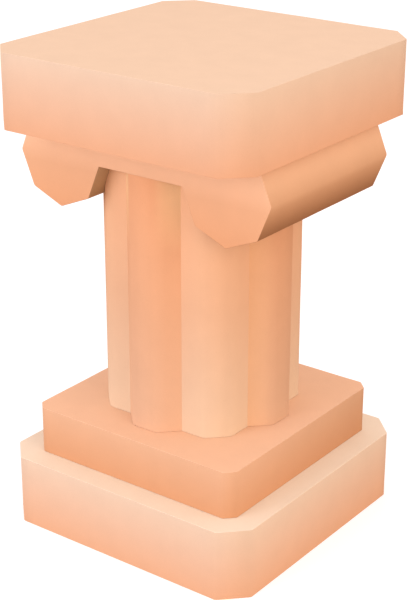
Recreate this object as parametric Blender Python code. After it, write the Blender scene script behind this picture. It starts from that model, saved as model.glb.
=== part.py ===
"""A pedestal column of dressed stone: two plinth slabs, a lobed shaft, a scroll capital and an abacus.

Metres, +Z up. The origin is the middle of the underside. The scrolls lie along Y, so their ends face
-Y (the front) and +Y (the back).
"""
import math

import bmesh
import bpy

# Bed joint: the clear space between two stones that touch
JOINT = 0.0003

# Each slab: side of its square plan, thickness, and how far its upright corners are cut back
LOWER_PLINTH_SIDE = 0.60
LOWER_PLINTH_HEIGHT = 0.15
LOWER_PLINTH_CHAMFER = 0.05
UPPER_PLINTH_SIDE = 0.50
UPPER_PLINTH_HEIGHT = 0.10
UPPER_PLINTH_CHAMFER = 0.02
ABACUS_SIDE = 0.60
ABACUS_HEIGHT = 0.15
ABACUS_CHAMFER = 0.05

# Shaft: square bars crossed on one axis, so that each bar's four corners stand out as lobes
SHAFT_HEIGHT = 0.53
SHAFT_BARS = 2
SHAFT_BAR_SIDE = 0.32
SHAFT_BAR_CHAMFER = 0.04

# Capital: a many-sided scroll on each side, and a flat band from one to the other over the shaft
SCROLL_SIDES = 8
SCROLL_RADIUS = 0.10
SCROLL_LENGTH = 0.40
SCROLL_SPACING = 0.40
BAND_HEIGHT = 0.07

# The shaft and the capital stand this far along X from the middle of the slabs
SHAFT_SHIFT = -0.003

# Heights of the beds, from the floor up
UPPER_PLINTH_BED = LOWER_PLINTH_HEIGHT + JOINT
SHAFT_BED = UPPER_PLINTH_BED + UPPER_PLINTH_HEIGHT + JOINT
CAPITAL_BED = SHAFT_BED + SHAFT_HEIGHT + JOINT
ABACUS_BED = CAPITAL_BED + BAND_HEIGHT + JOINT

# Colours of the stones: linear red, green and blue
PALE_STONE = (0.93, 0.56, 0.38)
WARM_STONE = (0.88, 0.42, 0.26)
SHAFT_STONE = (0.90, 0.48, 0.30)
CAPITAL_STONE = (0.90, 0.45, 0.28)
STONE_ROUGHNESS = 0.85


def clear_scene():
    """Empty the scene of the objects it starts with."""
    for old in list(bpy.data.objects):
        bpy.data.objects.remove(old, do_unlink=True)


def new_collection(name):
    """A new collection, linked to the scene."""
    collection = bpy.data.collections.new(name)
    bpy.context.scene.collection.children.link(collection)
    return collection


def stone(name, colour):
    """Matt stone of one colour."""
    material = bpy.data.materials.new(name)
    material.use_nodes = True
    shader = material.node_tree.nodes["Principled BSDF"]
    shader.inputs["Base Color"].default_value = (*colour, 1.0)
    shader.inputs["Roughness"].default_value = STONE_ROUGHNESS
    shader.inputs["Metallic"].default_value = 0.0
    return material


def place(name, mesh, collection, parent, location):
    """An object for the mesh, in a collection and on a parent."""
    piece = bpy.data.objects.new(name, mesh)
    piece.location = location
    piece.parent = parent
    collection.objects.link(piece)
    return piece


def slab_mesh(name, side, height, chamfer):
    """A square slab standing on z = 0, with its four upright corners cut back."""
    shape = bmesh.new()
    bmesh.ops.create_cube(shape, size=1.0)
    bmesh.ops.translate(shape, verts=shape.verts, vec=(0, 0, 0.5))
    bmesh.ops.scale(shape, verts=shape.verts, vec=(side, side, height))
    upright = [edge for edge in shape.edges if edge.verts[0].co.z != edge.verts[1].co.z]
    bmesh.ops.bevel(shape, geom=upright, offset=chamfer, segments=1, affect="EDGES")
    mesh = bpy.data.meshes.new(name)
    shape.to_mesh(mesh)
    shape.free()
    return mesh


def extruded_mesh(name, outline, thickness):
    """A flat outline in XY, extruded by half the thickness to each side of z = 0, as a closed mesh."""
    curve = bpy.data.curves.new(name, "CURVE")
    curve.dimensions = "2D"
    curve.fill_mode = "BOTH"
    curve.extrude = thickness / 2
    spline = curve.splines.new("POLY")
    spline.points.add(len(outline) - 1)
    for point, (x, y) in zip(spline.points, outline):
        point.co = (x, y, 0, 1)
    spline.use_cyclic_u = True
    drawn = bpy.data.objects.new(name + "_outline", curve)
    bpy.context.scene.collection.objects.link(drawn)
    evaluated = drawn.evaluated_get(bpy.context.evaluated_depsgraph_get())
    mesh = bpy.data.meshes.new_from_object(evaluated)
    mesh.name = name
    bpy.data.objects.remove(drawn, do_unlink=True)
    bpy.data.curves.remove(curve)
    shape = bmesh.new()
    shape.from_mesh(mesh)
    bmesh.ops.remove_doubles(shape, verts=shape.verts, dist=0.00001)
    shape.to_mesh(mesh)
    shape.free()
    return mesh


def scroll_ring(radius):
    """The scroll's whole outline about its own centre, starting from its inner corner at +X."""
    step = 2 * math.pi / SCROLL_SIDES
    return [(radius * math.cos(step * k), radius * math.sin(step * k)) for k in range(SCROLL_SIDES)]


def scroll_under_band():
    """The part of that outline from the inner corner, round below and out, up to the band's top."""
    step = 2 * math.pi / SCROLL_SIDES
    outline = [(SCROLL_RADIUS, 0.0)]
    for k in range(1, int(SCROLL_SIDES * 0.75) + 1):
        x = SCROLL_RADIUS * math.cos(-step * k)
        z = SCROLL_RADIUS * math.sin(-step * k)
        last_x, last_z = outline[-1]
        if z >= BAND_HEIGHT:
            share = (BAND_HEIGHT - last_z) / (z - last_z)
            outline.append((last_x + share * (x - last_x), BAND_HEIGHT))
            return outline
        outline.append((x, z))
    outline.append((outline[-1][0], BAND_HEIGHT))
    return outline


def capital_outline():
    """Front of the capital: the left scroll and its mirror image, joined by the band above them."""
    left = [(x - SCROLL_SPACING / 2, z) for x, z in scroll_under_band()]
    right = [(-x, z) for x, z in reversed(left)]
    return right + left


def capital_location():
    """Where the band's underside crosses the middle of the shaft."""
    return (SHAFT_SHIFT, 0, CAPITAL_BED)


def make_slab(name, side, height, chamfer, bed, material, collection, parent):
    """One slab of the plinth or the abacus, on its bed."""
    mesh = slab_mesh(name, side, height, chamfer)
    mesh.materials.append(material)
    place(name, mesh, collection, parent, (0, 0, bed))


def join_or_cut(piece, tool, operation):
    """Add the tool to the piece, or take it away, and leave the tool itself as a wire guide."""
    tool.hide_render = True
    tool.display_type = "WIRE"
    step = piece.modifiers.new(tool.name, "BOOLEAN")
    step.operation = operation
    step.solver = "EXACT"
    step.object = tool


def make_shaft(collection, guides, parent):
    """The bars crossed into one lobed shaft, with a seat cut in its head for each scroll."""
    location = (SHAFT_SHIFT, 0, SHAFT_BED)
    bar_mesh = slab_mesh("shaft", SHAFT_BAR_SIDE, SHAFT_HEIGHT, SHAFT_BAR_CHAMFER)
    bar_mesh.materials.append(stone("shaft_stone", SHAFT_STONE))
    shaft = place("shaft", bar_mesh, collection, parent, location)
    for turn in range(1, SHAFT_BARS):
        bar = place(f"shaft_bar_{turn}", bar_mesh, guides, parent, location)
        bar.rotation_euler = (0, 0, turn * math.pi / 2 / SHAFT_BARS)
        join_or_cut(shaft, bar, "UNION")
    seat_radius = SCROLL_RADIUS + JOINT / math.cos(math.pi / SCROLL_SIDES)
    seat_length = SCROLL_LENGTH + 2 * JOINT
    for side, name in ((-1, "left_seat"), (1, "right_seat")):
        ring = [(side * (SCROLL_SPACING / 2 - x), z) for x, z in scroll_ring(seat_radius)]
        seat = place(name, extruded_mesh(name, ring, seat_length), guides, parent, capital_location())
        seat.rotation_euler = (math.pi / 2, 0, 0)
        join_or_cut(shaft, seat, "DIFFERENCE")


def make_capital(collection, parent):
    """The scrolls and the band, one stone, standing upright over the shaft."""
    mesh = extruded_mesh("capital", capital_outline(), SCROLL_LENGTH)
    mesh.materials.append(stone("capital_stone", CAPITAL_STONE))
    capital = place("capital", mesh, collection, parent, capital_location())
    capital.rotation_euler = (math.pi / 2, 0, 0)


def make_column():
    """All five stones, from the floor up, under one empty."""
    column = new_collection("column")
    guides = new_collection("cutters")
    root = bpy.data.objects.new("column", None)
    column.objects.link(root)
    pale = stone("pale_stone", PALE_STONE)
    warm = stone("warm_stone", WARM_STONE)
    make_slab("lower_plinth", LOWER_PLINTH_SIDE, LOWER_PLINTH_HEIGHT, LOWER_PLINTH_CHAMFER, 0.0,
              pale, column, root)
    make_slab("upper_plinth", UPPER_PLINTH_SIDE, UPPER_PLINTH_HEIGHT, UPPER_PLINTH_CHAMFER,
              UPPER_PLINTH_BED, warm, column, root)
    make_shaft(column, guides, root)
    make_capital(column, root)
    make_slab("abacus", ABACUS_SIDE, ABACUS_HEIGHT, ABACUS_CHAMFER, ABACUS_BED, pale, column, root)


clear_scene()
make_column()
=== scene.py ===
# %% [markdown]
# A pedestal column in peach-coloured stone, dressed block by block.
# The solids of the column come in as a fixed frame. This lesson makes a finer surface for each of the
# five stones, gives each one its colour, and stands the column on a pale floor in soft light.
# Everything is in metres, with +Z up, and the scroll ends of the capital face -Y.

import bmesh
import bpy
import numpy as np
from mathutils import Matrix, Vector


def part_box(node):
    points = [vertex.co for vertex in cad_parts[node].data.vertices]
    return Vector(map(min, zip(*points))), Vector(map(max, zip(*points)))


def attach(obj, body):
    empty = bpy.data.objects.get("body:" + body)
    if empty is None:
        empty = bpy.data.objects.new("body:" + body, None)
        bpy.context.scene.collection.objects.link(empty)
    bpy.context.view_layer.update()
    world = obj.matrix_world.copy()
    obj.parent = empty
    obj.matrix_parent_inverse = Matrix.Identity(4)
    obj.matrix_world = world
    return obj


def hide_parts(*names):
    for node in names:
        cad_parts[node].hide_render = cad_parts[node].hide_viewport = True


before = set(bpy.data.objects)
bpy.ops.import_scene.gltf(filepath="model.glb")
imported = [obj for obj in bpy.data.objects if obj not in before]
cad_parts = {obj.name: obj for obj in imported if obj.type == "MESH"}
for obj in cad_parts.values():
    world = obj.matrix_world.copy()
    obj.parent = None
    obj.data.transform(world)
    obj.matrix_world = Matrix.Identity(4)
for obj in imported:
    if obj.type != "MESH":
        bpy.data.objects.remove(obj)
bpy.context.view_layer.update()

scene = bpy.context.scene
print("solids:", sorted(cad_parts))

# %% [markdown]
# The camera comes first, so that every later choice can be judged from the right place.
# It stands about 2.9 m from the column, looks down on it by 22.5 degrees and has a long lens, which
# keeps the uprights nearly parallel. Its turn about Z is counted from the view along +Y.

# %% Place the camera
CAMERA_PLACE = (1.7521, -2.3405, 1.6747)
CAMERA_DOWN = 22.475
CAMERA_TURN = 36.864
CAMERA_LENS = 92.775

camera_data = bpy.data.cameras.new("camera")
camera_data.lens = CAMERA_LENS
camera = bpy.data.objects.new("camera", camera_data)
camera.location = CAMERA_PLACE
camera.rotation_euler = np.radians((90 - CAMERA_DOWN, 0, CAMERA_TURN))
scene.collection.objects.link(camera)
scene.camera = camera
print("camera at", CAMERA_PLACE, "with a", CAMERA_LENS, "mm lens")

# %% [markdown]
# Each stone's outline is a polygon, but nobody leaves a knife edge on stone: every corner is eased.
# An arc that touches both sides of a corner needs only the corner's two neighbours, so all the corners
# can be worked out in one go. A corner that points inwards, such as a groove, is eased the same way.

# %% Round the corners of an outline
ARC_STEPS = 6
GRID = 0.009
CROWDED = 0.45


def rounded_outline(corners, radii):
    """Closed ring through the corners, each one replaced by an arc that touches both of its sides.

    The arc starts the radius times the tangent of half the turn before the corner. Its centre lies
    the radius to the left of the side for a left turn and to the right for a right turn, and the
    spoke from the centre swings through the turn.
    """
    corners = np.asarray(corners, float)
    before = corners - np.roll(corners, 1, axis=0)
    after = np.roll(corners, -1, axis=0) - corners
    before /= np.linalg.norm(before, axis=1, keepdims=True)
    after /= np.linalg.norm(after, axis=1, keepdims=True)
    cross = before[:, 0] * after[:, 1] - before[:, 1] * after[:, 0]
    turn = np.arctan2(cross, (before * after).sum(1))
    radii = np.broadcast_to(radii, turn.shape)
    start = corners - before * (radii * np.tan(np.abs(turn) / 2))[:, None]
    to_centre = np.stack([-before[:, 1], before[:, 0]], 1) * np.sign(turn)[:, None]
    centre = start + to_centre * radii[:, None]
    swing = turn[:, None] * np.linspace(0, 1, ARC_STEPS + 1)
    spoke = swung(-to_centre[:, None, :], swing)
    return fill_runs((centre[:, None, :] + spoke * radii[:, None, None]).reshape(-1, 2))


def swung(vectors, angle):
    """The vectors turned anticlockwise: x cos - y sin, and x sin + y cos."""
    x, y = vectors[..., 0], vectors[..., 1]
    return np.stack([x * np.cos(angle) - y * np.sin(angle), x * np.sin(angle) + y * np.cos(angle)], -1)


def fill_runs(ring):
    """The ring with points laid every GRID along it, apart from those that crowd its own points."""
    loop, along = measured(ring)
    extra = np.arange(0, along[-1], GRID)
    room = np.abs(extra[:, None] - along[None, :]).min(1)
    return with_points(loop, along, extra[room > CROWDED * GRID])


def measured(ring):
    """The ring with its first point again at its end, and the length along it to each point."""
    loop = np.vstack([ring, ring[:1]])
    return loop, np.concatenate([[0], np.cumsum(np.linalg.norm(np.diff(loop, axis=0), axis=1))])


def with_points(loop, along, extra):
    """The ring with more points on its chords, at the extra lengths along it."""
    where = np.sort(np.concatenate([along[:-1], extra]))
    return np.stack([np.interp(where, along, loop[:, k]) for k in (0, 1)], 1)


def outward(ring):
    """Unit normals of a ring that runs anticlockwise: the chord past each point, turned to the right."""
    chord = np.roll(ring, -1, axis=0) - np.roll(ring, 1, axis=0)
    chord /= np.linalg.norm(chord, axis=1, keepdims=True)
    return np.stack([chord[:, 1], -chord[:, 0]], 1)


# %% [markdown]
# Every stone here is a block with a flat bed at each end: a bed, a small arc round its edge, a straight
# side, another arc and the other bed. It could be a cube with a Bevel modifier, but a grid keeps even
# faces for the hand-rubbed surface that comes later. So the block's section is a list of rows, and
# carrying the outline through the rows gives the whole skin as one grid.
# The light on a rubbed corner turns evenly from one face to the next. The shape can't be rounded that
# far without losing its crisp outline, so each point also gets a shading direction of its own.

# %% Carry an outline through the rows of a block
BED_ROWS = 14


def block_rows(low, high, low_ease, high_ease):
    """Rows of a block's section: share of the way to the bed's middle, inset, height and tilt.

    On an arc of radius e, at the angle a from the side, the inset is e (1 - cos a) and the height is
    e (1 - sin a) from the bed. Tilt is a itself: 0 on the side and a quarter turn on a bed.
    """
    arc = np.linspace(0, np.pi / 2, ARC_STEPS)
    inwards = np.linspace(0, 1, BED_ROWS + 1)[1:]
    side = np.linspace(low + low_ease, high - high_ease, int((high - low) / GRID))[1:-1]
    share = np.concatenate([inwards[::-1], 0 * arc, 0 * side, 0 * arc, inwards])
    inset = np.concatenate([0 * inwards + low_ease, low_ease * (1 - np.cos(arc[::-1])), 0 * side,
                            high_ease * (1 - np.cos(arc)), 0 * inwards + high_ease])
    height = np.concatenate([0 * inwards + low, low + low_ease * (1 - np.sin(arc[::-1])), side,
                             high - high_ease * (1 - np.sin(arc)), 0 * inwards + high])
    tilt = np.concatenate([0 * inwards - np.pi / 2, -arc[::-1], 0 * side, arc, 0 * inwards + np.pi / 2])
    return share, inset, height, tilt


def carry(ring, rows, middle_of, soft):
    """Grids of points, normals and shading directions, from a ring carried through the rows.

    A point is (1 - share) times the inset ring plus share times its middle. The ring's own normals
    give the normals, and its soft ones give the shading directions.
    """
    share, inset, height, tilt = (row[:, None, None] for row in rows)
    facing = outward(ring)[None]
    edge = ring[None] - inset * facing
    plan = (1 - share) * edge + share * middle_of(edge)
    points = np.concatenate([plan, np.broadcast_to(height, plan.shape[:2] + (1,))], 2)
    return points, leaned(facing, tilt), leaned(soft[None], tilt)


def leaned(facing, tilt):
    """Directions that lean from the ring's towards the bed's: its cosine of the tilt, and the sine."""
    upright = np.broadcast_to(np.sin(tilt), (len(tilt), facing.shape[1], 1))
    return np.concatenate([np.cos(tilt) * facing, upright], 2)


def one_middle(edge):
    """The middle of the ring's box, so that the bed closes in one point."""
    return (edge.min(1, keepdims=True) + edge.max(1, keepdims=True)) / 2


# %% [markdown]
# A rubbed block is flat to the eye but never quite flat to the hand. A few long waves in random
# directions, added up, give that soft unevenness. The waves only ever take stone away, so each block
# stays inside its solid and keeps clear of its neighbour. Along the worn edges they bite deeper. A bed
# that carries the block is sawn flat, so close to it they fade out.

# %% Rub the stone by hand
WAVE_COUNT = 14
WAVE_GAIN = 1.2
SHORTEST_WAVE = 0.6
LONGEST_WAVE = 1.8
RUBBED_LENGTH = 0.11
RUBBED_DEPTH = 0.0004
WORN_LENGTH = 0.045
WORN_DEPTH = 0.0004
SAWN_STRIP = 0.004


def waves(points, length, seed):
    """Smooth values from 0 to 1: half, plus the mean of sines along random directions, times a gain."""
    draw = np.random.default_rng(seed)
    way = draw.normal(size=(WAVE_COUNT, 3))
    way /= np.linalg.norm(way, axis=1, keepdims=True)
    way /= length * draw.uniform(SHORTEST_WAVE, LONGEST_WAVE, (WAVE_COUNT, 1))
    phase = draw.uniform(0, 2 * np.pi, WAVE_COUNT)
    return np.clip(0.5 + WAVE_GAIN * np.sin(2 * np.pi * points @ way.T + phase).mean(-1), 0, 1)


def rub(points, normals, worn, seed, beds=(-np.inf, np.inf)):
    """The points moved in along their normals, by the long waves and by short ones where it is worn.

    The depth is then multiplied by the distance to the nearer sawn bed over a strip's width, up to 1.
    """
    depth = RUBBED_DEPTH * waves(points, RUBBED_LENGTH, seed)
    depth = depth + WORN_DEPTH * worn * waves(points, WORN_LENGTH, seed + 1)
    off_bed = np.minimum(points[..., 2] - beds[0], beds[1] - points[..., 2])
    return points - normals * (depth * np.clip(off_bed / SAWN_STRIP, 0, 1))[..., None]


# %% [markdown]
# A grid of points becomes a mesh by index arithmetic: every point joins its neighbour in the row and
# the two above it, and the last column joins the first. Points that fall in one place, as at the middle
# of a bed, are welded, which closes the skin. The mesh also keeps a few marks for the materials, each
# one number per point, such as how near the point lies to an arris. The shading directions ride along
# through the weld as one more attribute, and then become the mesh's custom normals.

# %% Turn a grid into a closed mesh
WELD = 0.000001


def skin(name, points, looks, marks):
    """A closed mesh from grids of points and shading directions, with each mark as an attribute."""
    row_count, column_count, _ = points.shape
    index = np.arange(row_count * column_count).reshape(row_count, column_count)
    right = np.roll(index, -1, axis=1)
    quads = np.stack([index[:-1], right[:-1], right[1:], index[1:]], -1).reshape(-1, 4)
    mesh = bpy.data.meshes.new(name)
    mesh.from_pydata(points.reshape(-1, 3), [], quads)
    for mark, values in marks.items():
        values = np.broadcast_to(values, (row_count, column_count)).ravel()
        mesh.attributes.new(mark, "FLOAT", "POINT").data.foreach_set("value", values)
    mesh.attributes.new("looks", "FLOAT_VECTOR", "POINT").data.foreach_set("vector", looks.ravel())
    shape = bmesh.new()
    shape.from_mesh(mesh)
    bmesh.ops.remove_doubles(shape, verts=shape.verts, dist=WELD)
    loose = sum(len(edge.link_faces) != 2 for edge in shape.edges)
    volume = shape.calc_volume(signed=True)
    shape.to_mesh(mesh)
    shape.free()
    mesh.shade_smooth()
    kept = np.empty(3 * len(mesh.vertices), np.float32)
    mesh.attributes["looks"].data.foreach_get("vector", kept)
    mesh.attributes.remove(mesh.attributes["looks"])
    mesh.normals_split_custom_set_from_vertices(kept.reshape(-1, 3))
    print(f"{name}: {len(mesh.polygons)} faces, {loose} open edges, {1000 * volume:.1f} litres")
    return mesh


def stand_in(name, mesh, node):
    """Puts the mesh into the scene as the looks of one solid of the frame."""
    piece = bpy.data.objects.new(name, mesh)
    scene.collection.objects.link(piece)
    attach(piece, "root")
    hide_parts(node)
    return piece


def corners_of(node):
    """The solid's own corners as an array, to measure from."""
    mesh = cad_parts[node].data
    corners = np.empty(len(mesh.vertices) * 3, np.float32)
    mesh.vertices.foreach_get("co", corners)
    return corners.reshape(-1, 3).astype(float)


# %% [markdown]
# The three slabs are one kind of stone: a square with its four upright corners cut back. The sizes come
# from the solid. A corner is a point of the widest side that lies at the end of its flat face, and a
# quarter turn carries the pair of them round to the other three sides.

# %% Draw a slab's plan
ALIKE = 0.0001
SOFT_BEFORE = 0.6


def cut_square(node):
    """Corners of the slab's plan, anticlockwise from the lower end of its +X side."""
    corners = corners_of(node)
    half = corners[:, 0].max()
    flat = corners[corners[:, 0] > half - ALIKE, 1].max()
    side = np.array([(half, -flat), (half, flat)])
    return np.concatenate([swung(side, np.full(2, k * np.pi / 2)) for k in range(4)])


def across_cut(ring, start, stop):
    """Directions that turn evenly over a square's cut corners.

    Each coordinate counts by its share of the way to the square's side, from a little before the cut.
    """
    start = start - SOFT_BEFORE * (stop - start)
    way = np.clip((np.abs(ring) - start) / (stop - start), 0, 1) * np.sign(ring)
    return way / np.linalg.norm(way, axis=1, keepdims=True)


# %% [markdown]
# The colour isn't the same all over a slab. Its arris is rubbed, which is wear. Its top has a tint of its
# own, which is painted light, and its left and right sides darken towards the back, which is painted shade.
# The lamps alone give only part of that darkening, so the rest of it is painted into the colour. These
# marks could be painted by hand, but each one follows from where a point lies and how it is turned, so it
# is a short formula.

# %% Mark the arris, the painted light on the top and the painted shade on the sides


def on_arris(tilt):
    """1 halfway round the upper arc, and 0 on the side, on the beds and on the edge that lies bedded."""
    return np.clip(np.sin(2 * tilt), 0, 1)[:, None]


def on_top(tilt):
    """1 on the upper bed and 0 on the side and below: the sine of the tilt, where that is above 0."""
    return np.clip(np.sin(tilt), 0, 1)[:, None]


def shade_towards_back(points, looks, half):
    """Painted shade on a side: how far it turns to the left or right, times how far back it lies.

    The first is the size of the direction's x, and the second runs from 0 at the front to 1 at the back.
    """
    return np.abs(looks[..., 0]) * np.clip((1 + points[..., 1] / half) / 2, 0, 1)


def aslant(looks):
    """1 where a side stands at 45 degrees to the axes, and 0 along them: twice the size of x times y."""
    return 2 * np.abs(looks[..., 0] * looks[..., 1])


# %% [markdown]
# With its plan and its marks, a slab is one call. The pale stone of the lowest and highest slabs is
# eased a little more than the warm one between them, and it gets less painted shade towards the back.

# %% Make the slabs
ARRIS_EASE = 0.001
BED_EASE = 0.0002
PALE_CORNER_EASE = 0.009
WARM_CORNER_EASE = 0.005
PALE_PAINTED_SHADE = 0.15
WARM_PAINTED_SHADE = 0.35
CUT_PAINTED_SHADE = 0.045


def make_slab(node, corner_ease, strength, seed):
    """The finer surface of one slab, over its solid.

    Its painted shade is the strength times how far back its side lies, and a little on its cut corners.
    """
    (_, _, low), (half, _, high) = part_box(node)
    rows = block_rows(low, high, BED_EASE, ARRIS_EASE)
    tilt = rows[3]
    corners = cut_square(node)
    ring = rounded_outline(corners, corner_ease)
    soft = across_cut(ring, np.abs(corners).min(), half)
    points, normals, looks = carry(ring, rows, one_middle, soft)
    worn = on_arris(tilt)
    # Painted shade: darker towards the back of the sides and on the cut corners.
    painted_shade = strength * shade_towards_back(points, looks, half) + CUT_PAINTED_SHADE * aslant(looks)
    # The top mark brings in painted light: a tint that sets the upper bed's brightness.
    marks = {"arris": worn, "top": on_top(tilt), "painted_shade": painted_shade}
    points = rub(points, normals, worn, seed, beds=(low, np.inf))
    name = node + "_stone"
    return stand_in(name, skin(name, points, looks, marks), node)


lower_plinth = make_slab("lower_plinth", PALE_CORNER_EASE, PALE_PAINTED_SHADE, seed=11)
upper_plinth = make_slab("upper_plinth", WARM_CORNER_EASE, WARM_PAINTED_SHADE, seed=23)
abacus = make_slab("abacus", PALE_CORNER_EASE, PALE_PAINTED_SHADE, seed=37)

# %% [markdown]
# The capital has an eight-sided scroll along each side and a flat band between them. Its sizes could be
# typed in, but measured on the solid they stay right when the column changes. The lowest edges of the
# solid are the scrolls' feet, which stand under the scrolls' middles.

# %% Measure the capital
capital_low, capital_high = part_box("capital")
capital_middle = (capital_low[0] + capital_high[0]) / 2
feet = corners_of("capital")
feet = feet[feet[:, 2] < capital_low[2] + ALIKE]
SCROLL_OFFSET = np.abs(feet[:, 0] - capital_middle).mean()
SCROLL_RADIUS = (capital_high[0] - capital_low[0]) / 2 - SCROLL_OFFSET
SCROLL_HEIGHT = capital_low[2] + SCROLL_RADIUS
print(f"scrolls: radius {SCROLL_RADIUS:.4f}, at {SCROLL_OFFSET:.4f} from the middle x {capital_middle:.4f}")

# %% [markdown]
# Everywhere across the capital's front there is one lowest and one highest point, so the outline is two
# curves over the same places: the underside and the top. Each point of the underside then has a partner
# above it, and the end face closes along the line halfway between the two. Closing in one point, as on
# a slab, would fold the faces over in the nooks beside the scrolls.

# %% Draw the capital's front
SCROLL_TURNS = (-180, -135, -90, -45, 0)
SCROLL_EASE = 0.009
NOOK_EASE = 0.0015
BAND_EASE = 0.003
PLACE_STEP = 0.0005


def capital_outline():
    """Ring round the capital's front: under the right scroll, back along the top, round the left one.

    A corner of a scroll lies the radius away from its middle, at one of the turns. Over the widest
    corner the side leans in by the rise times the tangent of a sixteenth turn, up to the band's top.
    """
    angle = np.radians(SCROLL_TURNS)
    right = SCROLL_RADIUS * np.stack([np.cos(angle), np.sin(angle)], 1) + (SCROLL_OFFSET, 0)
    rise = capital_high[2] - SCROLL_HEIGHT
    top = (right[-1, 0] - rise * np.tan(np.pi / 8), rise)
    right = np.vstack([right, top])
    radii = np.array([NOOK_EASE] + [SCROLL_EASE] * 4 + [BAND_EASE])
    corners = np.vstack([right, right[::-1] * (-1, 1)]) + (capital_middle, SCROLL_HEIGHT)
    return rounded_outline(corners, np.concatenate([radii, radii[::-1]]))


def run_of(ring, first, last):
    """The part of the ring from one index on to another, across its seam where need be."""
    return np.roll(ring, -first, axis=0)[:(last - first) % len(ring) + 1]


capital_ring = capital_outline()
leftmost, rightmost = capital_ring[:, 0].argmin(), capital_ring[:, 0].argmax()
underside = run_of(capital_ring, leftmost, rightmost)
topside = run_of(capital_ring, rightmost, leftmost)[::-1]
places = np.unique(np.round(capital_ring[:, 0] / PLACE_STEP)) * PLACE_STEP
places = np.unique(np.clip(places, underside[0, 0], underside[-1, 0]))
under = np.stack([places, np.interp(places, underside[:, 0], underside[:, 1])], 1)
over = np.stack([places, np.interp(places, topside[:, 0], topside[:, 1])], 1)
paired_ring = np.vstack([under, over[-2:0:-1]])
print("capital's front:", len(places), "places across,", len(paired_ring), "points round")

# %% [markdown]
# A scroll is darkest underneath and lightest on its shoulder, by more than the lamps alone give it, so
# its colour follows: that is painted shade. Its inner side looks at the shaft, which takes light from it
# and throws its own colour back, so there the painted shade is less and a mark of its own brings in a
# duller tint, painted shade too. The end faces stand in the open, and both of these marks are 0 on them.

# %% Mark the painted shade on the scrolls
SCROLL_PAINTED_SHADE = 0.43
PAINTED_SHADE_BELOW = 0.56
PAINTED_SHADE_ABOVE = 0.26
PAINTED_SHADE_UPWARDS = 0.18
INNER_RELIEF = 0.5
INNER_FADE = 3.0


def towards_middle(points):
    """How far in a point lies: 0 from a scroll's middle outwards, and 1 in the middle of the capital."""
    return np.clip(1 - np.abs(points[..., 0] - capital_middle) / SCROLL_OFFSET, 0, 1)


def scroll_painted_shade(points, looks):
    """How much painted shade each point gets: more below the scrolls' middle, and less above it.

    A point's fall is its drop below the middle over the radius times the sine of 45 degrees. The mark
    grows with the fall, shrinks with a rise and grows with the direction's z. It is less on the inner
    side, and the end faces, which look along Y, stay at 0.
    """
    fall = (SCROLL_HEIGHT - points[..., 2]) / (SCROLL_RADIUS * np.sin(np.pi / 4))
    mark = SCROLL_PAINTED_SHADE + PAINTED_SHADE_UPWARDS * looks[..., 2]
    mark = mark + PAINTED_SHADE_BELOW * np.clip(fall, 0, 1) - PAINTED_SHADE_ABOVE * np.clip(-fall, 0, 1)
    return mark * (1 - INNER_RELIEF * towards_middle(points)) * (1 - np.abs(looks[..., 1]))


def inner_scroll_painted_tint(points, looks):
    """1 on the inner sides of the scrolls, fading to 0 at their feet, and 0 on the end faces."""
    return np.clip(INNER_FADE * towards_middle(points), 0, 1) * (1 - np.abs(looks[..., 1]))


# %% [markdown]
# The capital is its front carried backwards, so it is made lying on its back and then stood up. Light
# rolls evenly round a scroll, and for that the shading directions all point away from its middle.

# %% Make the capital


def halfway_across(edge):
    """For each point, the spot halfway to its partner, so that the end closes along a line."""
    return (edge + np.roll(edge[:, ::-1], 1, axis=1)) / 2


def from_scroll_middle(ring):
    """Shading directions: away from the middle of the point's own scroll, and upright on the band."""
    across = ring[:, 0] - capital_middle
    out = np.stack([across - np.sign(across) * SCROLL_OFFSET, ring[:, 1] - SCROLL_HEIGHT], 1)
    out /= np.linalg.norm(out, axis=1, keepdims=True)
    upright = np.where(ring[:, 1:] > SCROLL_HEIGHT, 1, -1) * (0, 1)
    on_band = np.abs(across) < SCROLL_OFFSET - SCROLL_RADIUS
    at_top = ring[:, 1] > capital_high[2] - ALIKE
    return np.where((on_band | at_top)[:, None], upright, out)


def make_capital():
    """The finer surface of the capital: its front, carried from the back end to the front end.

    The ring lies in X and Z, and the rows run along -Y, so (x, z, height) becomes (x, -height, z).
    """
    rows = block_rows(-capital_high[1], -capital_low[1], ARRIS_EASE, ARRIS_EASE)
    grids = carry(paired_ring, rows, halfway_across, from_scroll_middle(paired_ring))
    points, normals, looks = (grid[..., [0, 2, 1]] * (1, -1, 1) for grid in grids)
    tilt = rows[3]
    worn = on_arris(np.abs(tilt))
    # Painted shade on the scrolls, and a duller painted tint on their inner sides.
    marks = {"arris": worn, "painted_shade": scroll_painted_shade(points, looks),
             "deep": inner_scroll_painted_tint(points, looks)}
    mesh = skin("capital_stone", rub(points, normals, worn, seed=53), looks, marks)
    return stand_in("capital_stone", mesh, "capital")


capital = make_capital()

# %% [markdown]
# The shaft is eight lobes round a core: what remains when two square bars stand in each other, one
# turned by an eighth. The V grooves between the lobes stay sharp, and the lobes' own corners are well
# rounded. Its head is cut to the underside of the capital, so that the scrolls bed into it. The cut
# bends where a crease of the capital's underside crosses it, so the outline gets a point on each crease.

# %% Draw the shaft's outline
LOBES = 8
LOBE_EASE = 0.018
GROOVE_EASE = 0.0012
shaft_low, shaft_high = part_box("shaft")
SHAFT_AXIS = np.array([(shaft_low[0] + shaft_high[0]) / 2, 0.0])
SHAFT_JOINT = capital_low[2] + SCROLL_RADIUS - shaft_high[2]
nook_and_corner = SCROLL_OFFSET - SCROLL_RADIUS * np.cos(np.radians((0, 45)))
creases = capital_middle + np.concatenate([-nook_and_corner, nook_and_corner])


def with_stops(ring, places):
    """The ring with a point more wherever one of its chords crosses one of the places in x.

    The crossing is the offset before it over the offsets' difference, as a share of the chord.
    """
    loop, along = measured(ring)
    offset = loop[:, :1] - places
    chord, place = np.nonzero(offset[:-1] * offset[1:] < 0)
    share = offset[chord, place] / (offset[chord, place] - offset[chord + 1, place])
    return with_points(loop, along, along[chord] + share * (along[chord + 1] - along[chord]))


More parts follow.
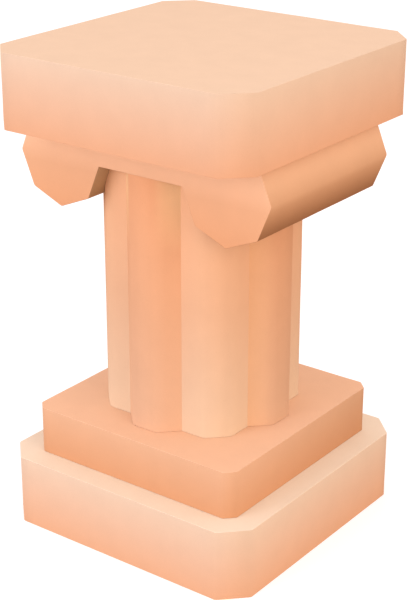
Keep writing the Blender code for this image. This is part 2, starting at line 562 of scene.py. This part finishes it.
def lobed_outline():
    """Ring round the shaft, from one lobe's two corners and the groove after it, turned eight times.

    The lobe's cut face is at the reach from the axis. The bars' flats are (reach + half the cut face)
    over the square root of two away, and a groove is where two flats meet, a sixteenth turn on.
    The shading directions turn evenly over each cut face, worked out in the lobe's own square bar.
    """
    corners = corners_of("shaft")
    reach = shaft_high[0] - SHAFT_AXIS[0]
    half = corners[corners[:, 0] > shaft_high[0] - ALIKE, 1].max()
    flat = (reach + half) / np.sqrt(2)
    groove = flat * np.array([1, np.tan(np.pi / 8)])
    lobe = np.array([(reach, -half), (reach, half), groove])
    turned = [swung(lobe, np.full(3, 2 * np.pi * k / LOBES)) for k in range(LOBES)]
    ring = rounded_outline(np.concatenate(turned), [LOBE_EASE, LOBE_EASE, GROOVE_EASE] * LOBES)
    ring = with_stops(ring, creases - SHAFT_AXIS[0])
    bar_turn = np.round(np.arctan2(ring[:, 1], ring[:, 0]) * LOBES / (2 * np.pi)) * np.pi / 4 - np.pi / 4
    soft = across_cut(swung(ring, -bar_turn), (reach - half) / np.sqrt(2), flat)
    return ring + SHAFT_AXIS, swung(soft, bar_turn)


# %% [markdown]
# The lobes that point to the slabs' corners have a tint of their own. The grooves have a paler one, a
# little of it at the left and right, and most under the capital at the front and back. The photo has no
# shadow there. A real lamp gives one, and the paler tint makes up for it.

# %% Mark the lobes and the grooves
SIDE_PAINTED_LIGHT = 0.4
HEAD_PAINTED_LIGHT = 1.4
HEAD_START = 0.15
HEAD_FULL = 0.04


def corner_lobe(points):
    """1 on the four lobes that point to the slabs' corners and 0 on the others, by the turn in eighths."""
    turn = np.arctan2(points[..., 1], points[..., 0] - SHAFT_AXIS[0])
    return np.round(turn * LOBES / (2 * np.pi)) % 2


def painted_groove_light(points, looks):
    """How much painted light each point gets: nothing on the lobes' tips, and most in the grooves under the
    capital.

    It is the closeness to a groove, from the distance to the axis, times how far aslant the side is,
    times a sum: a constant times the square of x over the reach, and another times the square of y over
    the reach and the share of the way up into the head.
    """
    across = points[..., 0] - SHAFT_AXIS[0]
    away = np.hypot(across, points[..., 1])
    at_tips = away[points[..., 2] < shaft_low[2] + SAWN_STRIP].max()
    at_grooves = away[len(away) // 2].min()
    close = np.clip((at_tips - away) / (at_tips - at_grooves), 0, 1)
    below_top = shaft_high[2] - points[..., 2]
    head = np.clip((HEAD_START - below_top) / (HEAD_START - HEAD_FULL), 0, 1)
    reach = shaft_high[1]
    pale = SIDE_PAINTED_LIGHT * (across / reach) ** 2 + HEAD_PAINTED_LIGHT * head * (points[..., 1] / reach) ** 2
    return np.clip(close * aslant(looks) * pale, 0, 1)


# %% [markdown]
# The shaft is a block like the others, sawn flat at both ends. Its head could be cut with a Boolean
# modifier, but that leaves long thin faces, which shade badly. Here each upright column of points is
# squeezed into the room that it has under the capital, which keeps the faces even and the foot in place.

# %% Make the shaft
AXIS_PAINTED_SHADE = 0.36
CORNER_PAINTED_SHADE = 0.18


def cut_head(points):
    """Heights squeezed so that the head lies a joint under the capital: z times room over full height."""
    head = np.interp(points[..., 0], under[:, 0], under[:, 1]) - SHAFT_JOINT
    room = (np.minimum(head, shaft_high[2]) - shaft_low[2]) / (shaft_high[2] - shaft_low[2])
    height = shaft_low[2] + (points[..., 2] - shaft_low[2]) * room
    return np.concatenate([points[..., :2], height[..., None]], 2)


def make_shaft():
    """The finer surface of the shaft, over its solid.

    Its sides get painted shade as a slab's do, the lobes on the axes more than those between them.
    """
    rows = block_rows(shaft_low[2], shaft_high[2], BED_EASE, BED_EASE)
    ring, soft = lobed_outline()
    points, normals, looks = carry(ring, rows, one_middle, soft)
    worn = on_arris(rows[3])
    on_corner = corner_lobe(points)
    strength = AXIS_PAINTED_SHADE + (CORNER_PAINTED_SHADE - AXIS_PAINTED_SHADE) * on_corner
    # Painted light in the grooves, and painted shade towards the back of the sides.
    marks = {"arris": worn, "corner_lobe": on_corner, "deep": painted_groove_light(points, looks),
             "painted_shade": strength * shade_towards_back(points, looks, shaft_high[1])}
    points = rub(points, normals, worn, seed=71, beds=(shaft_low[2], shaft_high[2]))
    mesh = skin("shaft_stone", cut_head(points), looks, marks)
    return stand_in("shaft_stone", mesh, "shaft")


shaft = make_shaft()

# %% [markdown]
# Five materials follow, one for each stone, and they share three effects: a colour that changes with
# height, the fine grain of the stone, and the wear on its edges. Each effect is a node group, built
# once, that puts out plain colours and numbers. The Principled shader stays in the material itself.

# %% Helpers for shader nodes


def add(tree, kind, values=None, **settings):
    """A new shader node: its settings are set, then its input sockets by name or number."""
    node = tree.nodes.new("ShaderNode" + kind)
    for name, setting in settings.items():
        setattr(node, name, setting)
    for socket, value in (values or {}).items():
        feed(tree, node.inputs[socket], value)
    return node


def feed(tree, socket, value):
    """Links the socket to another node's output, or sets its value."""
    if isinstance(value, bpy.types.NodeSocket):
        tree.links.new(value, socket)
    else:
        socket.default_value = value


def maths(tree, operation, *values):
    """The result of a Math node on the values."""
    return add(tree, "Math", dict(enumerate(values)), operation=operation).outputs[0]


def opaque(colour):
    """The colour with an alpha of 1, or the socket as it is."""
    return colour if isinstance(colour, bpy.types.NodeSocket) else (*colour, 1.0)


def mixed(tree, share, first, second, blend_type="MIX"):
    """The colour of a Mix node between two colours."""
    values = {0: share, 6: opaque(first), 7: opaque(second)}
    return add(tree, "Mix", values, data_type="RGBA", blend_type=blend_type).outputs[2]


def new_group(name, takes, gives):
    """An empty node group with named sockets, and its input and output nodes."""
    group = bpy.data.node_groups.new(name, "ShaderNodeTree")
    for way, sockets in (("INPUT", takes), ("OUTPUT", gives)):
        for socket, kind in sockets.items():
            group.interface.new_socket(socket, in_out=way, socket_type="NodeSocket" + kind)
    entry = group.nodes.new("NodeGroupInput")
    end = group.nodes.new("NodeGroupOutput")
    return group, entry.outputs, end.inputs


# %% [markdown]
# The stone's colour changes over its height: each slab is paler at its top edge and warmer at its foot.
# This is partly the stone's own tone and partly painted light and shade.
# Two Map Range nodes turn the height into a share for the lower half and one for the upper half, and
# two Mix nodes go from the low tint to the middle one and on to the high one.

# %% Group: tint by height
tint_and_shade_by_height, take, give = new_group(
    "tint_and_shade_by_height",
    {"Position": "Vector", "Low": "Float", "Middle": "Float", "High": "Float",
     "Low Tint": "Color", "Middle Tint": "Color", "High Tint": "Color"},
    {"Tint": "Color"})
height = add(tint_and_shade_by_height, "SeparateXYZ", {0: take["Position"]}).outputs["Z"]
blend = take["Low Tint"]
for start, stop in (("Low", "Middle"), ("Middle", "High")):
    rise = add(tint_and_shade_by_height, "MapRange", {"Value": height, "From Min": take[start],
                                            "From Max": take[stop]}).outputs[0]
    blend = mixed(tint_and_shade_by_height, rise, blend, take[stop + " Tint"])
feed(tint_and_shade_by_height, give["Tint"], blend)
print("tint by height:", len(tint_and_shade_by_height.nodes), "nodes")

# %% [markdown]
# Close to, the stone is a fine, even sandstone: grains of about a millimetre, faint clouds of colour a
# few centimetres wide, and a scatter of tiny pits. Noise gives the first two and Voronoi cells the pits.

# %% Group: sandstone grain
CLOUD_SIZE = 0.05
GRAIN_SIZE = 0.0016
PIT_SPACING = 0.014
PIT_RADIUS = 0.07
PIT_TONE = -0.12
GRAIN_HEIGHT = 0.00006
DRESSED_HEIGHT = 0.0004
PIT_DEPTH = 0.0003
LEAST_ROUGH = 0.76
GRAIN_ROUGH = 0.16

sandstone_grain, take, give = new_group(
    "sandstone_grain",
    {"Position": "Vector", "Clouds": "Float", "Grain": "Float", "Pits": "Float"},
    {"Tone": "Float", "Roughness": "Float", "Height": "Float"})
clouds = add(sandstone_grain, "TexNoise", {"Vector": take["Position"], "Scale": 1 / CLOUD_SIZE,
                                           "Detail": 3.0, "Roughness": 0.55}).outputs[0]
grains = add(sandstone_grain, "TexNoise", {"Vector": take["Position"], "Scale": 1 / GRAIN_SIZE,
                                           "Detail": 2.0, "Roughness": 0.6}).outputs[0]
to_pit = add(sandstone_grain, "TexVoronoi", {"Vector": take["Position"], "Scale": 1 / PIT_SPACING,
                                             "Randomness": 1.0}).outputs["Distance"]
pit = add(sandstone_grain, "MapRange", {"Value": to_pit, "From Min": PIT_RADIUS,
                                        "From Max": 0.0}).outputs[0]
pit = maths(sandstone_grain, "MULTIPLY", pit, take["Pits"])


def toned(noise, amount):
    """The noise's swing about its middle value, times the amount."""
    return maths(sandstone_grain, "MULTIPLY", maths(sandstone_grain, "SUBTRACT", noise, 0.5), amount)


tone = maths(sandstone_grain, "ADD", toned(clouds, take["Clouds"]), toned(grains, take["Grain"]))
tone = maths(sandstone_grain, "ADD", tone, 1.0)
feed(sandstone_grain, give["Tone"], maths(sandstone_grain, "MULTIPLY_ADD", pit, PIT_TONE, tone))
feed(sandstone_grain, give["Roughness"],
     maths(sandstone_grain, "MULTIPLY_ADD", grains, GRAIN_ROUGH, LEAST_ROUGH))
relief = maths(sandstone_grain, "MULTIPLY", grains, GRAIN_HEIGHT)
relief = maths(sandstone_grain, "MULTIPLY_ADD", clouds, DRESSED_HEIGHT, relief)
feed(sandstone_grain, give["Height"], maths(sandstone_grain, "MULTIPLY_ADD", pit, -PIT_DEPTH, relief))
print("sandstone grain:", len(sandstone_grain.nodes), "nodes")

# %% [markdown]
# Where hands and brooms pass, an edge is rubbed a little paler. The mesh says where the edges are, and
# noise breaks the rubbed line up so that it never runs on evenly.

# %% Group: rubbed edges
RUB_PATCH = 0.03
PATCH_START = 0.35
PATCH_FULL = 0.65
RUBBED_TINT = (1.0, 0.86, 0.74)

rubbed_edges, take, give = new_group(
    "rubbed_edges", {"Position": "Vector", "Arris": "Float", "Tint": "Color", "Amount": "Float"},
    {"Tint": "Color"})
patches = add(rubbed_edges, "TexNoise", {"Vector": take["Position"], "Scale": 1 / RUB_PATCH,
                                         "Detail": 2.0}).outputs[0]
patches = add(rubbed_edges, "MapRange", {"Value": patches, "From Min": PATCH_START,
                                         "From Max": PATCH_FULL}).outputs[0]
rubbed = maths(rubbed_edges, "MULTIPLY", patches, take["Arris"])
rubbed = maths(rubbed_edges, "MULTIPLY", rubbed, take["Amount"])
feed(rubbed_edges, give["Tint"], mixed(rubbed_edges, rubbed, take["Tint"], RUBBED_TINT))
print("rubbed edges:", len(rubbed_edges.nodes), "nodes")

# %% [markdown]
# A stone material puts the groups in a row: the tint by height, painted shade where the mesh marks it, its
# edges rubbed paler, and the grain's tone over it all. A stone may also have a second tint by height for
# its corner lobes, a painted light tint for its top, and a painted tint for its nooks, paler where it
# cancels a shadow and duller where it deepens one. Each of these comes in where the mesh has that mark.
# Only numbers differ from stone to stone.

# %% Make a stone material
PAINTED_SHADE_TINT = (0.43, 0.36, 0.25)
RUBBED_AMOUNT = 0.05
CLOUD_AMOUNT = 0.08
GRAIN_AMOUNT = 0.08
PIT_AMOUNT = 1.0
STONE_SPECULAR = 0.2


def use(tree, group, values):
    """A node that holds the group, its inputs fed."""
    node = tree.nodes.new("ShaderNodeGroup")
    node.node_tree = group
    for socket, value in values.items():
        feed(tree, node.inputs[socket], value)
    return node


def stone_material(name, low, high, tints, corner_tints=None, top_tint=None, deep_tint=None):
    """Matt stone. Tints are its colours at the low height, halfway up and at the high height.

    The corner tints, of which there are three too, the painted top tint and the painted nook tint take over
    by the marks of those names. Painted shade multiplies the colour, and so does the grain's tone.
    """
    material = bpy.data.materials.new(name)
    material.use_nodes = True
    tree = material.node_tree
    shader = tree.nodes["Principled BSDF"]
    where = add(tree, "TexCoord").outputs["Object"]

    def mark(attribute):
        return add(tree, "Attribute", attribute_name=attribute).outputs["Fac"]

    def tint(low_tint, middle_tint, high_tint):
        return use(tree, tint_and_shade_by_height, {"Position": where, "Low": low, "Middle": (low + high) / 2,
                                          "High": high, "Low Tint": opaque(low_tint),
                                          "Middle Tint": opaque(middle_tint),
                                          "High Tint": opaque(high_tint)}).outputs[0]

    colour = tint(*tints)
    if corner_tints:
        colour = mixed(tree, mark("corner_lobe"), colour, tint(*corner_tints))
    if top_tint:
        colour = mixed(tree, mark("top"), colour, top_tint)
    # Painted light and shade in nooks: a paler tint where a shadow is cancelled, and a duller one where it
    # is deepened.
    if deep_tint:
        colour = mixed(tree, mark("deep"), colour, deep_tint)
    # Painted shade: the colour is multiplied towards a dark tint where the mark says.
    colour = mixed(tree, mark("painted_shade"), colour, PAINTED_SHADE_TINT, "MULTIPLY")
    colour = use(tree, rubbed_edges, {"Position": where, "Arris": mark("arris"), "Tint": colour,
                                      "Amount": RUBBED_AMOUNT}).outputs[0]
    grain = use(tree, sandstone_grain, {"Position": where, "Clouds": CLOUD_AMOUNT,
                                        "Grain": GRAIN_AMOUNT, "Pits": PIT_AMOUNT})
    colour = add(tree, "VectorMath", {0: colour, 1: grain.outputs["Tone"]}, operation="MULTIPLY")
    bump = add(tree, "Bump", {"Height": grain.outputs["Height"], "Distance": 1.0})
    feed(tree, shader.inputs["Base Color"], colour.outputs[0])
    feed(tree, shader.inputs["Roughness"], grain.outputs["Roughness"])
    feed(tree, shader.inputs["Normal"], bump.outputs[0])
    shader.inputs["Specular IOR Level"].default_value = STONE_SPECULAR
    return material


# %% [markdown]
# The tints were found by comparing renders with the photo, stone by stone, under the lights below. The
# slabs are pale at the top and peach at the foot, and the scrolls are palest on their shoulders.

# %% Dress the five stones


def dress(piece, node, name, tints, **more_tints):
    """Gives the piece a stone of its own, whose tints run over the height of its solid."""
    low, high = (corner[2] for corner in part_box(node))
    piece.data.materials.clear()
    piece.data.materials.append(stone_material(name, low, high, tints, **more_tints))
    print(node, "is dressed in", name)


# These tints are partly the stones' own colours and partly painted light and shade: the paler tops and
# darker feet stand in for light, and the capital's high tint is raised to make up for the abacus's shadow.
dress(lower_plinth, "lower_plinth", "pale_sandstone_foot",
      ((0.775, 0.479, 0.3), (0.764, 0.557, 0.405), (0.759, 0.649, 0.513)),
      top_tint=(0.764, 0.721, 0.606))
dress(upper_plinth, "upper_plinth", "warm_sandstone",
      ((0.612, 0.337, 0.184), (0.682, 0.412, 0.247), (0.725, 0.482, 0.314)),
      top_tint=(0.751, 0.528, 0.368))
dress(shaft, "shaft", "lobed_sandstone",
      ((0.678, 0.467, 0.318), (0.692, 0.423, 0.26), (0.762, 0.421, 0.232)),
      corner_tints=((0.703, 0.576, 0.423), (0.714, 0.482, 0.315), (0.843, 0.523, 0.314)),
      deep_tint=(0.98, 0.7, 0.4))
dress(capital, "capital", "scroll_sandstone",
      ((0.7, 0.388, 0.213), (0.743, 0.46, 0.278), (0.98, 0.714, 0.495)),
      deep_tint=(0.64, 0.48, 0.32))
dress(abacus, "abacus", "pale_sandstone_top",
      ((0.691, 0.416, 0.258), (0.695, 0.501, 0.36), (0.696, 0.59, 0.464)),
      top_tint=(0.695, 0.582, 0.45))

# %% [markdown]
# The floor is a wide pale sheet. It isn't part of the column. To the camera it
# glows a little, so that it looks white and takes only a faint shadow. To the stones it is a plain
# darker sheet, because a white one would light them from below more than the photo shows.

# %% Lay the floor
FLOOR_HALF = 12.0
FLOOR_SEEN = (0.6, 0.63, 0.7)
FLOOR_GLOW = 0.5
FLOOR_BOUNCE = (0.42, 0.36, 0.32)
WHITE = (1.0, 1.0, 1.0)

floor_mesh = bpy.data.meshes.new("floor")
floor_mesh.from_pydata([(-FLOOR_HALF, -FLOOR_HALF, 0), (FLOOR_HALF, -FLOOR_HALF, 0),
                        (FLOOR_HALF, FLOOR_HALF, 0), (-FLOOR_HALF, FLOOR_HALF, 0)], [], [(0, 1, 2, 3)])
floor = bpy.data.objects.new("floor", floor_mesh)
scene.collection.objects.link(floor)
floor_material = bpy.data.materials.new("pale_floor")
floor_material.use_nodes = True
tree = floor_material.node_tree
tree.nodes.clear()
seen = add(tree, "LightPath").outputs["Is Camera Ray"]
shown = add(tree, "BsdfDiffuse", {"Color": opaque(FLOOR_SEEN)})
glow = add(tree, "Emission", {"Color": opaque(WHITE), "Strength": FLOOR_GLOW})
shown = add(tree, "AddShader", {0: shown.outputs[0], 1: glow.outputs[0]})
bounced = add(tree, "BsdfDiffuse", {"Color": opaque(FLOOR_BOUNCE)})
either = add(tree, "MixShader", {0: seen, 1: bounced.outputs[0], 2: shown.outputs[0]})
feed(tree, add(tree, "OutputMaterial").inputs["Surface"], either.outputs[0])
floor_mesh.materials.append(floor_material)
print("floor:", 2 * FLOOR_HALF, "m square")

# %% [markdown]
# Two large softboxes give the sides of the column their different brightness: one in front on the left,
# and one of the same strength on the right, which is warmer. A large box close by throws only soft
# shadows. A sun lamp would throw hard ones, which the photo doesn't have.

# %% Place the softboxes
AIM = Vector((0, 0, 0.5))
BOX_DISTANCE = 4.0
BOX_SIDE = 2.5
BOX_POWER = 58


def softbox(name, turn, rise, colour):
    """A square area light on a sphere round the column, aimed at its middle.

    With its turn t from the front to the right and its rise r, it stands the distance away along
    (sin t cos r, -cos t cos r, sin r).
    """
    turn, rise = np.radians((turn, rise))
    way = Vector((np.sin(turn) * np.cos(rise), -np.cos(turn) * np.cos(rise), np.sin(rise)))
    light = bpy.data.lights.new(name, "AREA")
    light.shape = "SQUARE"
    light.size = BOX_SIDE
    light.energy = BOX_POWER
    light.color = colour
    box = bpy.data.objects.new(name, light)
    box.location = AIM + way * BOX_DISTANCE
    box.rotation_euler = (-way).to_track_quat("-Z", "Y").to_euler()
    scene.collection.objects.link(box)
    print(name, "light at", [round(v, 2) for v in box.location])


softbox("key", turn=-20, rise=15, colour=(1.0, 0.92, 1.0))
softbox("side", turn=75, rise=20, colour=(1.0, 0.71, 0.55))

# %% [markdown]
# Most of the light comes from the room itself, evenly from all round. Its light is peach, as if it came
# back from warm walls, but the camera sees the room as plain white. A Light Path node tells the two
# apart.

# %% Light the room
ROOM_COLOUR = (1.0, 0.79, 0.71)
ROOM_STRENGTH = 1.22

world = bpy.data.worlds.new("room")
world.use_nodes = True
scene.world = world
tree = world.node_tree
tree.nodes.clear()
seen = add(tree, "LightPath").outputs["Is Camera Ray"]
room = add(tree, "Background", {"Color": opaque(ROOM_COLOUR), "Strength": ROOM_STRENGTH})
white = add(tree, "Background", {"Color": opaque(WHITE), "Strength": 1.0})
either = add(tree, "MixShader", {0: seen, 1: room.outputs[0], 2: white.outputs[0]})
feed(tree, add(tree, "OutputWorld").inputs["Surface"], either.outputs[0])

scene.view_settings.view_transform = "Standard"
scene.view_settings.look = "None"
print("room light:", ROOM_COLOUR, "times", ROOM_STRENGTH)
